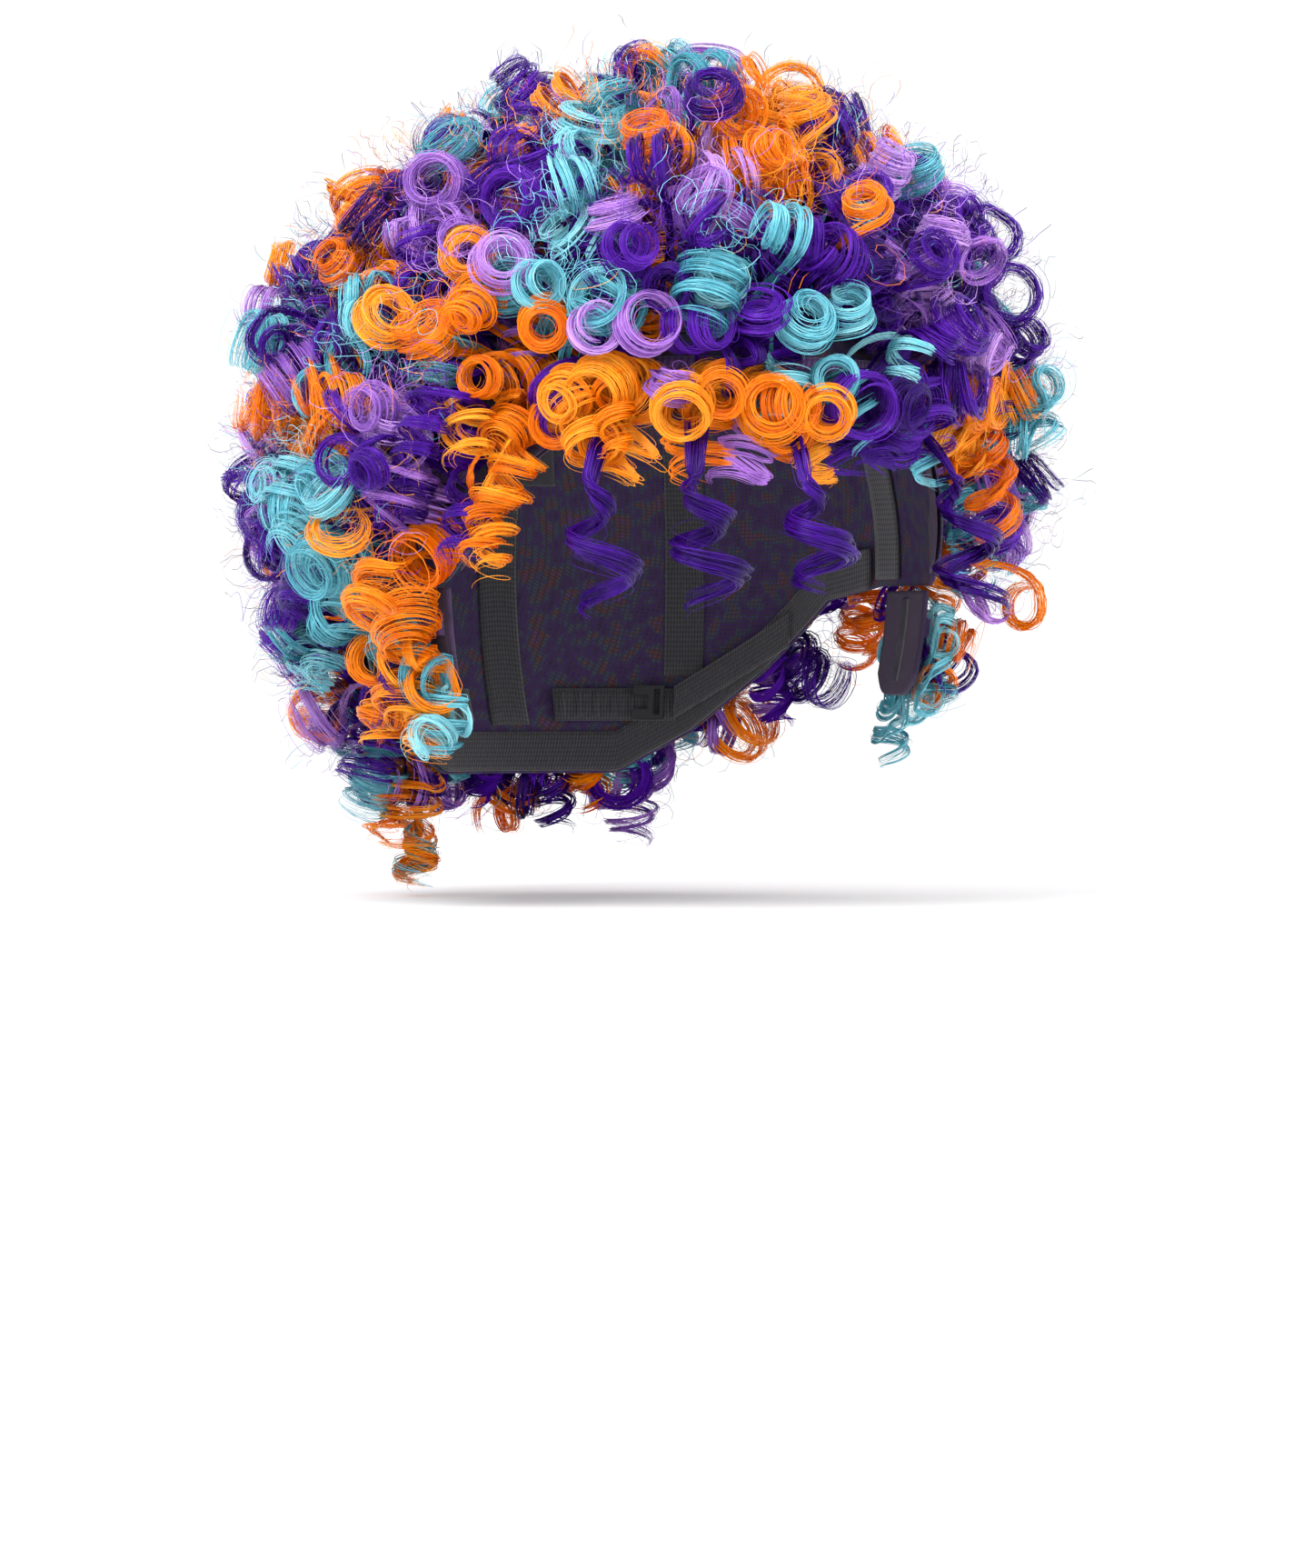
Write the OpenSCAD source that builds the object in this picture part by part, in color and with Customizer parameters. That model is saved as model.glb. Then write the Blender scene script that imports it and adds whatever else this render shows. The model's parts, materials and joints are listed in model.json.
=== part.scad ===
// Short curly costume wig on a wefted stretch cap.
// Units are mm and +Z is up. The wearer faces -Y and the wearer's left is +X.
// The origin is the centre of the head at hatband height.
// Every sewn part lies on one smooth head form at its own small offset, so layers never overlap.

/* [Head form] */
// Head width at hatband height
head_width = 154; // [130:1:170]
// Head length at hatband height, forehead to back
head_length = 194; // [170:1:215]
// Top of the head above the hatband
crown_height = 88; // [75:1:100]
// Depth scale of the form below the hatband
lower_depth = 110; // [95:1:130]

/* [Cap outline] */
// Elevation angle of the hairline over the forehead
front_edge = 24; // [15:1:35]
// Elevation angle of the cap edge over the ears
ear_edge = -3.5; // [-8:0.5:0]
// Elevation angle of the cap edge at the nape
nape_edge = -33; // [-38:1:-20]

/* [Cap cloth] */
// Thickness of the stretch net
net_thickness = 0.5; // [0.3:0.1:1]
// Thickness of the hem bands
band_thickness = 0.6; // [0.4:0.1:1.2]
// Height of the front band
front_band_width = 14; // [8:1:22]
// Height of the elastic nape band
nape_band_width = 10; // [6:1:16]
// Width of the sewn ribbons
ribbon_width = 12; // [6:1:20]

/* [Wefts] */
// Height of a weft's stitched head
weft_height = 4; // [2:0.5:6]
// Thickness of a weft's stitched head
weft_thickness = 1.4; // [0.8:0.1:2]

/* [Curls] */
// Depth of the curls over the ears
side_depth = 30; // [15:1:45]
// Depth of the curls over the crown
top_depth = 55; // [20:1:60]
// Depth of the curls at the nape
nape_depth = 22; // [10:1:35]
// Width of one clump of curls
clump_width = 34; // [20:1:60]

/* [Ear tabs] */
// First azimuth of an ear tab, from the front
tab_from = 74; // [68:1:78]
// Last azimuth of an ear tab
tab_to = 90; // [84:1:96]
// Elevation of the tab's lower end
tab_bottom = -20; // [-26:1:-12]

/* [Fringe ringlets] */
// Radius of a hanging ringlet, to the middle of its strand
ringlet_radius = 8.5; // [5:0.5:14]
// Radius of the strand of a hanging ringlet
strand_radius = 1.8; // [1:0.1:3]
// Height of a ringlet's root above the hatband
ringlet_top = 20; // [15:0.5:30]

/* [Adjusters] */
// Width of the elastic adjuster strap
strap_width = 8; // [5:0.5:12]
// Length of the adjuster hook along the strap
hook_length = 9; // [6:0.5:14]
// Width of the care label
label_width = 24; // [15:1:40]
// Height of the care label
label_height = 15; // [10:1:40]

/* [Hidden] */

a = head_width / 2;
b = head_length / 2;
deg_mm = (a + b) / 2 * PI / 180;   // length of one degree on the form, about
// Offsets of the layers from the head form, from the inside out. Each layer clears the next.
loop_inner = -1;
tape_inner = -0.55;
tape_outer = -0.2;
stay_inner = -0.5;
stay_outer = 0.1;
tab_inner = 0.2;
tab_outer = 1.8;
band_offset = 0.3;
ribbon_offset = 1.15;
ribbon_thickness = 0.35;
net_offset = 2.1;
tab_weft_offset = 2.1;
weft_offset = 3.1;
hair_base = 6.2;

// Azimuths from the front, on both sides of the head.
front_band_end = 71;
nape_band_start = 96;
side_ribbon_at = 91;
back_ribbon_at = 140;
fringe_end = 57;
loop_tape_at = 155;
hook_at = 147;
// Elevations.
ribbon_top = [72, 62];      // side ribbons, back ribbons
back_ribbon_low = -17;
net_top = 89;               // the net closes to a small ring at the crown
fringe_weft_low = 33;
tab_weft_low = -11;
adjuster_low = -22;         // the hooks and the loop tapes
// The adjuster strap runs from its sewn end to its hook.
strap_from = [116, -10];
strap_run = [25, -12];
label_top = 38;             // height of the label's sewn edge above the hatband
label_face = 84.6;          // distance of the label's face behind the origin

// Free ringlets: azimuth, length, turns and phase. Their tips lean to the wearer's left.
RINGLETS = [[-41, 37, 2, 200], [-24, 35, 2.25, 80], [-5, 31, 2, 240], [31, 36, 2, 20]];
ringlet_lean = [6, -3];

// Rows of wefts, from the nape up: lower and upper elevation, and first azimuth from the front.
// A first azimuth of 0 means that the row goes all the way round.
ROWS = [
    [-32.5, -24, 146], [-24, -15, 130], [-15, -4.5, 116], [ear_edge, 7, 72],
    [7, 17, 67], [17, 27, 60], [27, 36, 60], [36, 46, 0],
    [46, 56, 0], [56, 66, 0], [66, 76, 0], [76, 88, 0]
];

// ---- points on the head form ----
// Azimuth 0 is the forehead, 90 the wearer's left. Elevation 0 is the hatband, 90 the crown.
function depth_scale(el) = el >= 0 ? crown_height : lower_depth;
function unit(v) = v / norm(v);
function form(az, el) = [a * cos(el) * sin(az), -b * cos(el) * cos(az), depth_scale(el) * sin(el)];
function normal(az, el) = unit([cos(el) * sin(az) / a, -cos(el) * cos(az) / b,
                                sin(el) / depth_scale(el)]);
function at(az, el, off) = form(az, el) + off * normal(az, el);
function from_front(az) = abs(az > 180 ? az - 360 : az);

// Elevation of the cap's edge all the way round.
function edge(az) = lookup(from_front(az), [
    [0, front_edge], [46, front_edge], [58, front_edge - 9], [68, ear_edge + 4],
    [73, ear_edge], [94, ear_edge], [108, ear_edge - 2], [122, -16],
    [138, -26], [155, nape_edge], [180, nape_edge]
]);

// Depth of the curls. They stand out most round the top, and are shallower over the forehead.
function depth(az, el) = lookup(el, [
    [-33, nape_depth], [-15, nape_depth + 4], [0, side_depth],
    [15, side_depth + 0.3 * (top_depth - side_depth)],
    [30, side_depth + 0.65 * (top_depth - side_depth)],
    [45, side_depth + 0.9 * (top_depth - side_depth)], [60, top_depth]
]) * (from_front(az) < 50 && el < 40 ? 0.8 : 1);

// The curls hang: their outer ends lie lower than their roots.
function droop(el) = el > 70 ? 6 * (90 - el) / 20 : 6;
// The row above the ear tabs stops higher over them, and hangs lower behind them, over the ears.
function bottom_shift(az, el) = el != ear_edge ? 0
    : from_front(az) < 92 ? 5 : from_front(az) < 114 ? -4 : 0;

// ---- closed solids between two grids of points ----
function flat(g) = [for (row = g) each row];
// low is the inner grid and high the outer one; both run by azimuth, then by elevation.
module slab(low, high, closed = false) {
    nu = len(low) - (closed ? 0 : 1);
    m = len(low[0]);
    nv = m - 1;
    n = len(low) * m;
    lo = function(i, j) (i % len(low)) * m + j;
    hi = function(i, j) n + (i % len(low)) * m + j;
    polyhedron(points = concat(flat(low), flat(high)), faces = concat(
        [for (i = [0:nu-1], j = [0:nv-1]) [hi(i, j), hi(i, j+1), hi(i+1, j+1)]],
        [for (i = [0:nu-1], j = [0:nv-1]) [hi(i, j), hi(i+1, j+1), hi(i+1, j)]],
        [for (i = [0:nu-1], j = [0:nv-1]) [lo(i, j), lo(i+1, j+1), lo(i, j+1)]],
        [for (i = [0:nu-1], j = [0:nv-1]) [lo(i, j), lo(i+1, j), lo(i+1, j+1)]],
        [for (i = [0:nu-1]) [hi(i, 0), hi(i+1, 0), lo(i+1, 0)]],
        [for (i = [0:nu-1]) [hi(i, 0), lo(i+1, 0), lo(i, 0)]],
        [for (i = [0:nu-1]) [hi(i+1, nv), hi(i, nv), lo(i, nv)]],
        [for (i = [0:nu-1]) [hi(i+1, nv), lo(i, nv), lo(i+1, nv)]],
        closed ? [] : [for (j = [0:nv-1]) [hi(0, j+1), hi(0, j), lo(0, j)]],
        closed ? [] : [for (j = [0:nv-1]) [hi(0, j+1), lo(0, j), lo(0, j+1)]],
        closed ? [] : [for (j = [0:nv-1]) [hi(nu, j), hi(nu, j+1), lo(nu, j+1)]],
        closed ? [] : [for (j = [0:nv-1]) [hi(nu, j), lo(nu, j+1), lo(nu, j)]]
    ));
}

// A band at one elevation range, from azimuth u0 to u1.
module band(u0, u1, e0, e1, o0, o1, step = 10, nv = 1) {
    nu = ceil((u1 - u0) / step);
    g = function(off) [for (i = [0:nu]) [for (j = [0:nv])
        at(u0 + (u1 - u0) * i / nu, e0 + (e1 - e0) * j / nv, off)]];
    slab(g(o0), g(o1));
}

// A hem that follows the cap's edge and is so many mm high.
module hem(u0, u1, width, o0, o1, step = 6) {
    nu = ceil((u1 - u0) / step);
    g = function(off) [for (i = [0:nu]) let (az = u0 + (u1 - u0) * i / nu)
        [for (j = [0:1]) at(az, edge(az) + j * width / deg_mm, off)]];
    slab(g(o0), g(o1));
}

// ---- cap ----
module crown_net() color([0.16, 0.13, 0.17]) {
    nu = 60;
    nv = 16;
    g = function(off) [for (i = [0:nu-1]) let (az = i * 360 / nu)
        [for (j = [0:nv]) at(az, edge(az) + (net_top - edge(az)) * j / nv, off)]];
    slab(g(net_offset), g(net_offset + net_thickness), closed = true);
}

module front_band() color([0.2, 0.12, 0.22])
    hem(-front_band_end, front_band_end, front_band_width, band_offset, band_offset + band_thickness);

module nape_band() color([0.1, 0.1, 0.12])
    hem(nape_band_start, 360 - nape_band_start, nape_band_width, band_offset, band_offset + band_thickness);

// A ribbon that runs up the form at one azimuth.
module ribbon(az, e0, e1, width) {
    n = ceil((e1 - e0) / 8);
    half = function(el) width / 2 / (deg_mm * max(0.2, cos(el)));
    g = function(off) [for (s = [-1, 1]) [for (j = [0:n]) let (el = e0 + (e1 - e0) * j / n)
        at(az + s * half(el), el, off)]];
    slab(g(ribbon_offset), g(ribbon_offset + ribbon_thickness));
}

// The centre ribbon runs from the front band over the crown to the nape.
module centre_ribbon() color([0.1, 0.1, 0.12]) {
    n = 24;
    t0 = front_edge + 10;
    t1 = 180 - nape_edge - 8;
    g = function(off) [for (s = [-1, 1]) [for (j = [0:n]) let (
            t = t0 + (t1 - t0) * j / n, x = s * ribbon_width / 2 / a, k = sqrt(1 - x * x),
            z = sin(t) * k, d = z >= 0 ? crown_height : lower_depth,
            p = [a * x, -b * cos(t) * k, d * z], m = unit([x / a, -cos(t) * k / b, z / d]))
        p + off * m]];
    slab(g(ribbon_offset), g(ribbon_offset + ribbon_thickness));
}
module side_ribbon(side) color([0.1, 0.1, 0.12])
    ribbon(side * side_ribbon_at, ear_edge + 1, ribbon_top[0], ribbon_width);
module right_side_ribbon() side_ribbon(-1);
module left_side_ribbon() side_ribbon(1);
module back_ribbon(side) color([0.1, 0.1, 0.12])
    ribbon(side * back_ribbon_at, back_ribbon_low, ribbon_top[1], ribbon_width);
module right_back_ribbon() back_ribbon(-1);
module left_back_ribbon() back_ribbon(1);

// ---- wefts and their curls ----
// The stitched head of a weft lies near the top of its row, and its curls hang from there.
module weft(k) color([0.24, 0.14, 0.3]) {
    r = ROWS[k];
    top = r[1] - 1.5;
    low = top - weft_height / deg_mm;
    if (r[2] > 0) band(r[2] + 1, 359 - r[2], low, top, weft_offset, weft_offset + weft_thickness);
    else {
        g = function(off) [for (i = [0:35]) [at(i * 10, low, off), at(i * 10, top, off)]];
        slab(g(weft_offset), g(weft_offset + weft_thickness), closed = true);
    }
}
module weft_01() weft(0);
module weft_02() weft(1);
module weft_03() weft(2);
module weft_04() weft(3);
module weft_05() weft(4);
module weft_06() weft(5);
module weft_07() weft(6);
module weft_08() weft(7);
module weft_09() weft(8);
module weft_10() weft(9);
module weft_11() weft(10);
module weft_12() weft(11);

// One clump of curls: square at its root, rounded at its outer end.
module clump(u0, u1, e0, e1, swell = 1) {
    um = (u0 + u1) / 2;
    em = (e0 + e1) / 2;
    low = [for (s = [-1:1]) [for (t = [-1:1])
        at(um + s * (u1 - u0) * 0.49, em + t * (e1 - e0) * 0.48, hair_base)]];
    high = [for (s = [-1:1]) [for (t = [-1:1]) let (
            az = um + s * (u1 - u0) * 0.46, el = em + t * (e1 - e0) * 0.45)
        at(az, el - droop(el) + (t < 0 ? bottom_shift(um, e0) : 0),
           depth(um, em) * swell * (1 - 0.09 * (s * s + t * t)))]];
    slab(low, high);
}

// A row of clumps, each a little deeper or shallower than its neighbour.
module clump_row(u0, u1, e0, e1) {
    arc = (u1 - u0) * PI / 180 * (deg_mm * 180 / PI + side_depth / 2) * cos((e0 + e1) / 2);
    n = max(5, round(arc / clump_width));
    for (i = [0:n-1])
        clump(u0 + (u1 - u0) * i / n, u0 + (u1 - u0) * (i + 1) / n, e0, e1,
              1 + 0.07 * sin(137 * i + 7 * e1));
}
module curls(k, tint) color(tint) {
    r = ROWS[k];
    if (r[2] > 0) clump_row(r[2], 360 - r[2], r[0], r[1]);
    else clump_row(0, 360, r[0], r[1]);
}
violet = [0.3, 0.08, 0.6];
lavender = [0.6, 0.42, 0.8];
turquoise = [0.3, 0.7, 0.78];
orange = [1, 0.5, 0.02];
module curls_01() curls(0, lavender);
module curls_02() curls(1, turquoise);
module curls_03() curls(2, orange);
module curls_04() curls(3, violet);
module curls_05() curls(4, lavender);
module curls_06() curls(5, violet);
module curls_07() curls(6, turquoise);
module curls_08() curls(7, lavender);
module curls_09() curls(8, violet);
module curls_10() curls(9, orange);
module curls_11() curls(10, violet);
module curls_12() curls(11, turquoise);

// The short row over the forehead.
module fringe_weft() color([0.24, 0.14, 0.3])
    band(-fringe_end, fringe_end, fringe_weft_low, fringe_weft_low + weft_height / deg_mm,
         weft_offset, weft_offset + weft_thickness);
module fringe_curls() color(orange) clump_row(-fringe_end - 2, fringe_end + 2, front_edge + 1, 36);

// ---- a strand that winds down along Z and starts at its own origin ----
// It widens below its root, so that it can swing under the curls above it, and its tip may lean.
module strand(length, radius, thick, turns, phase, lean = [0, 0], side = 5) {
    n = ceil(turns * 9);
    reach = function(s) min(radius, 0.55 * s);
    mid = function(q) let (s = 1.5 + (length - 1.5) * q)
        [reach(s) * cos(phase + 360 * turns * q) + lean[0] * q,
         reach(s) * sin(phase + 360 * turns * q) + lean[1] * q, -s];
    g = function(q) thick * (q > 0.98 ? 0.5 : 1);
    ring = function(q) let (p = mid(q), d = unit(mid(q + 0.01) - mid(q - 0.01)),
            e = unit(cross(d, [0, 0, 1])), f = cross(d, e))
        [for (k = [0:side-1]) p + g(q) * (cos(k * 360 / side) * e + sin(k * 360 / side) * f)];
    pts = [for (i = [0:n]) each ring(0.04 + 0.96 * i / n)];
    polyhedron(points = pts, faces = concat(
        [for (i = [0:n-1], k = [0:side-1])
            [i*side + k, i*side + (k+1) % side, (i+1)*side + (k+1) % side]],
        [for (i = [0:n-1], k = [0:side-1])
            [i*side + k, (i+1)*side + (k+1) % side, (i+1)*side + k]],
        [[for (k = [side-1:-1:0]) k]],
        [[for (k = [0:side-1]) n*side + k]]
    ));
}

// Root of the ringlet that hangs at one azimuth, clear of the forehead.
function root(az) = let (p = at(az, 0, ringlet_radius + strand_radius + 2))
    [p[0], p[1], ringlet_top];
module ringlet(k) color([0.26, 0.05, 0.55]) {
    r = RINGLETS[k];
    translate(root(r[0]))
        strand(r[1], ringlet_radius, strand_radius, r[2], r[3], ringlet_lean);
}
module ringlet_1() ringlet(0);
module ringlet_2() ringlet(1);
module ringlet_3() ringlet(2);
module ringlet_4() ringlet(3);

// One long lock under the nape, behind the wearer's right ear.
module nape_tail() color(orange)
    translate(at(-153, -34, 12) + [0, 0, -9]) strand(17, 6, strand_radius, 1.75, 0);

// ---- ear tabs ----
module ear_tab(u0, u1) color([0.2, 0.12, 0.22])
    band(u0, u1, tab_bottom, ear_edge - 0.8, tab_inner, tab_outer, step = 4, nv = 3);
module right_ear_tab() ear_tab(-tab_to, -tab_from);
module left_ear_tab() ear_tab(tab_from, tab_to);

// The flat bendable stay runs down the inner face of the tab.
module tab_stay(az) color([0.75, 0.75, 0.78])
    band(az - 1.2, az + 1.2, tab_bottom + 2, ear_edge - 2, stay_inner, stay_outer, step = 4, nv = 3);
module right_tab_stay() tab_stay(-(tab_from + tab_to) / 2);
module left_tab_stay() tab_stay((tab_from + tab_to) / 2);

module tab_weft(u0, u1) color([0.24, 0.14, 0.3])
    band(u0, u1, tab_weft_low, tab_weft_low + weft_height / deg_mm,
         tab_weft_offset, tab_weft_offset + weft_thickness, step = 5);
module right_tab_weft() tab_weft(-tab_to + 1, -tab_from - 1);
module left_tab_weft() tab_weft(tab_from + 1, tab_to - 1);

// The tab's curls slope away from the row above, to leave room for the tab to fold out.
module tab_curls(u0, u1) {
    low = [for (s = [0:2]) [for (t = [0:2])
        at(u0 + (u1 - u0) * s / 2, -22 + 8 * t, hair_base - 1)]];
    high = [for (s = [0:2]) [for (t = [0:2])
        at(u0 + 1 + (u1 - u0 - 2) * s / 2, -25 + 4 * t, s == 1 ? 19 : 16)]];
    slab(low, high);
}
module right_tab_curls() color(orange) tab_curls(-tab_to, -tab_from + 1);
module left_tab_curls() color(turquoise) tab_curls(tab_from - 1, tab_to);

// ---- adjusters inside the nape ----
// side is 1 for the wearer's left and -1 for the right.
module strap(side) color([0.1, 0.1, 0.12]) {
    n = 6;
    h = strap_width / 2 / deg_mm;
    g = function(o0, o1) [for (i = [0:n]) let (q = side > 0 ? i / n : 1 - i / n)
        [for (t = [-1, 1]) at(side * (strap_from[0] + strap_run[0] * q),
                              strap_from[1] + strap_run[1] * q + t * h, o0 + (o1 - o0) * q)]];
    slab(g(-1.1, -2.8), g(-0.5, -2.2));
}
module right_strap() strap(-1);
module left_strap() strap(1);

// A ribbon with a row of stitched loops that the hook goes into.
module loop_tape(side) color([0.12, 0.12, 0.15]) {
    mid = side * loop_tape_at;
    half = function(width) width / 2 / deg_mm;
    band(mid - 14, mid + 14, adjuster_low - half(8), adjuster_low + half(8),
         tape_inner, tape_outer, step = 7);
    for (i = [-3:3])
        band(mid + 4 * i - 0.8, mid + 4 * i + 0.8, adjuster_low - half(6), adjuster_low + half(6),
             loop_inner, tape_inner + 0.05, step = 7);
}
module right_loop_tape() loop_tape(-1);
module left_loop_tape() loop_tape(1);

// A flat plastic hook: a plate with a slot for the strap and an open slot between two prongs.
module hook(side) color([0.08, 0.08, 0.09]) {
    n = normal(side * (hook_at + 3), adjuster_low);
    translate(at(side * hook_at, adjuster_low, 0)) rotate([0, 0, atan2(n[0], -n[1])])
        rotate([-asin(n[2]), 0, 0]) difference() {
            translate([-hook_length / 2, 1.9, -5]) cube([hook_length, 1.3, 10]);
            translate([-1 - side * (hook_length / 2 - 2), 1, -4]) cube([2, 3, 8]);
            translate([side > 0 ? 0 : -hook_length / 2 - 1, 1, -2.2])
                cube([hook_length / 2 + 1, 3, 4.4]);
        }
}
module right_hook() hook(-1);
module left_hook() hook(1);

// A blank woven label, sewn by its upper edge inside the back of the cap.
module care_label() color([0.2, 0.19, 0.22])
    translate([-label_width / 2, label_face, label_top - label_height]) cube([label_width, 0.5, label_height]);

crown_net();
front_band();
nape_band();
centre_ribbon();
right_side_ribbon();
left_side_ribbon();
right_back_ribbon();
left_back_ribbon();
weft_01();
weft_02();
weft_03();
weft_04();
weft_05();
weft_06();
weft_07();
weft_08();
weft_09();
weft_10();
weft_11();
weft_12();
curls_01();
curls_02();
curls_03();
curls_04();
curls_05();
curls_06();
curls_07();
curls_08();
curls_09();
curls_10();
curls_11();
curls_12();
fringe_weft();
fringe_curls();
nape_tail();
right_ear_tab();
left_ear_tab();
right_tab_stay();
left_tab_stay();
right_tab_weft();
left_tab_weft();
right_tab_curls();
left_tab_curls();
ringlet_1();
ringlet_2();
ringlet_3();
ringlet_4();
right_strap();
left_strap();
right_hook();
left_hook();
right_loop_tape();
left_loop_tape();
care_label();
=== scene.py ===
import json
import math

import bpy
import numpy as np
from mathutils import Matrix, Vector


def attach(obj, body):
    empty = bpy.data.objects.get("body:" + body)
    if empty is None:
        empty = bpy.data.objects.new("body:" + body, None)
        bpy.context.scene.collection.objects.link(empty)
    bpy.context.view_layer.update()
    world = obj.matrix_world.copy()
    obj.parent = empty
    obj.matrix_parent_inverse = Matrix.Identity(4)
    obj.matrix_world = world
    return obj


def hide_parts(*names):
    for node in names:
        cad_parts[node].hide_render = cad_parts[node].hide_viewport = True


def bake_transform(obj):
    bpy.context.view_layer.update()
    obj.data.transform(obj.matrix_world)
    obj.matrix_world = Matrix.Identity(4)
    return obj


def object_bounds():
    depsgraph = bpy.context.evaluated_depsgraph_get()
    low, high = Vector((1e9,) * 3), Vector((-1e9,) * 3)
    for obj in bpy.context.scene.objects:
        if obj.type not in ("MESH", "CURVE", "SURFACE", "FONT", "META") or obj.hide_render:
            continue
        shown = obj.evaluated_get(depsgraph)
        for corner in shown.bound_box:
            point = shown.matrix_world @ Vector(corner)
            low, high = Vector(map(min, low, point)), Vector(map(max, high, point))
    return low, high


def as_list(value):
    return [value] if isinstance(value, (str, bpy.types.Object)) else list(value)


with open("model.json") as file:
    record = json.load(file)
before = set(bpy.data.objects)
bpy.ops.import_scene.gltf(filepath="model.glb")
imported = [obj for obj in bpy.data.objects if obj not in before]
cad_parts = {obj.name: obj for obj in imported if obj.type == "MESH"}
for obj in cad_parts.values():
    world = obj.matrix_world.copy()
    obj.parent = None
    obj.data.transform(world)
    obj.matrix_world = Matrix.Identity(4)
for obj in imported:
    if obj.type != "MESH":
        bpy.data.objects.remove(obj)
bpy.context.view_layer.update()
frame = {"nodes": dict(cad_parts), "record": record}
rng = np.random.default_rng(7)

MM = 0.001
# The head form of the cap, as in part.scad: semi-axes in mm.
HEAD_A, HEAD_B, HEAD_C, HEAD_LOW = 77.0, 97.0, 88.0, 110.0
COLOURS = {"P": "hair_purple", "L": "hair_lavender", "T": "hair_turquoise", "O": "hair_orange"}


# ---- points on the head form, as in part.scad ----
def form(az, el, off=0.0):
    """Points and outward normals, in mm, for azimuth and elevation in degrees."""
    az, el = np.radians(np.asarray(az, float)), np.radians(np.asarray(el, float))
    az, el = np.broadcast_arrays(az, el)
    depth = np.where(el >= 0, HEAD_C, HEAD_LOW)
    p = np.stack([HEAD_A * np.cos(el) * np.sin(az), -HEAD_B * np.cos(el) * np.cos(az),
                  depth * np.sin(el)], -1)
    n = np.stack([np.cos(el) * np.sin(az) / HEAD_A, -np.cos(el) * np.cos(az) / HEAD_B,
                  np.sin(el) / depth], -1)
    n /= np.linalg.norm(n, axis=-1, keepdims=True)
    return p + np.asarray(off, float)[..., None] * n, n


def unit(v):
    return v / np.maximum(np.linalg.norm(v, axis=-1, keepdims=True), 1e-9)


def outside_cap(p, off=4.8, cap_foot=-75):
    """Pushes points that lie inside the cap out to its outer face, as the head would."""
    depth_axis = np.where(p[..., 2] >= 0, HEAD_C, HEAD_LOW) + off
    size = np.stack([np.full_like(depth_axis, HEAD_A + off), np.full_like(depth_axis, HEAD_B + off),
                     depth_axis], -1)
    level = np.linalg.norm(p / size, axis=-1, keepdims=True)
    return np.where((level < 1) & (p[..., 2:3] > cap_foot), p / np.maximum(level, 0.3), p)


# ---- meshes ----
def mesh_object(name, verts, quads, smooth=True):
    """A mesh object from points in mm and four-sided faces."""
    mesh = bpy.data.meshes.new(name)
    verts = np.asarray(verts, np.float32).reshape(-1, 3) * MM
    quads = np.asarray(quads, np.int32).reshape(-1, 4)
    mesh.vertices.add(len(verts))
    mesh.vertices.foreach_set("co", verts.ravel())
    mesh.loops.add(quads.size)
    mesh.loops.foreach_set("vertex_index", quads.ravel())
    mesh.polygons.add(len(quads))
    mesh.polygons.foreach_set("loop_start", np.arange(0, quads.size, 4, dtype=np.int32))
    mesh.update(calc_edges=True)
    if smooth:
        mesh.shade_smooth()
    obj = bpy.data.objects.new(name, mesh)
    bpy.context.scene.collection.objects.link(obj)
    return obj


class Hair:
    """Collects fibres and makes meshes of them. A fibre is a thin ribbon, flat or folded along its middle."""

    def __init__(self):
        self.parts = []

    def add(self, paths, radius, tone, fold=True):
        """paths is fibres x points x 3 in mm, radius is fibres x points, and tone is 0 to 1 per fibre."""
        s, p = paths.shape[:2]
        paths = outside_cap(paths)
        t = unit(np.gradient(paths, axis=1))
        out = paths / np.array([HEAD_A, HEAD_B, HEAD_C])
        e1 = unit(np.cross(t, out))
        e2 = np.cross(e1, t)
        rim = [(-1, -0.5), (0, 0.8), (1, -0.5)] if fold else [(-1.1, 0), (1.1, 0)]
        m = len(rim)
        v = np.stack([paths + radius[..., None] * (a * e1 + b * e2) for a, b in rim], 2)
        i = np.arange(s)[:, None, None] * p * m + np.arange(p - 1)[None, :, None] * m
        k = np.arange(m - 1)[None, None, :]
        q = np.stack([i + k, i + k + 1, i + m + k + 1, i + m + k], -1).reshape(-1, 4)
        self.parts.append((v.reshape(-1, 3), q, np.repeat(np.clip(tone, 0, 1), p * m)))

    def make(self, name, most=98_000):
        """Objects of up to about so many faces each."""
        groups, size = [[]], 0
        total = sum(len(q) for _, q, _ in self.parts)
        limit = total / math.ceil(total / most) + 1
        for part in self.parts:
            if size > limit:
                groups.append([])
                size = 0
            groups[-1].append(part)
            size += len(part[1])
        made = []
        for k, group in enumerate(groups):
            base = np.cumsum([0] + [len(v) for v, _, _ in group])
            obj = mesh_object(name if len(groups) == 1 else f"{name}_{k + 1}",
                              np.concatenate([v for v, _, _ in group]),
                              np.concatenate([q + b for (_, q, _), b in zip(group, base)]))
            tone = obj.data.attributes.new("tone", "FLOAT", "POINT")
            tone.data.foreach_set("value", np.concatenate([t for _, _, t in group]).astype(np.float32))
            made.append(obj)
        return made


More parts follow.
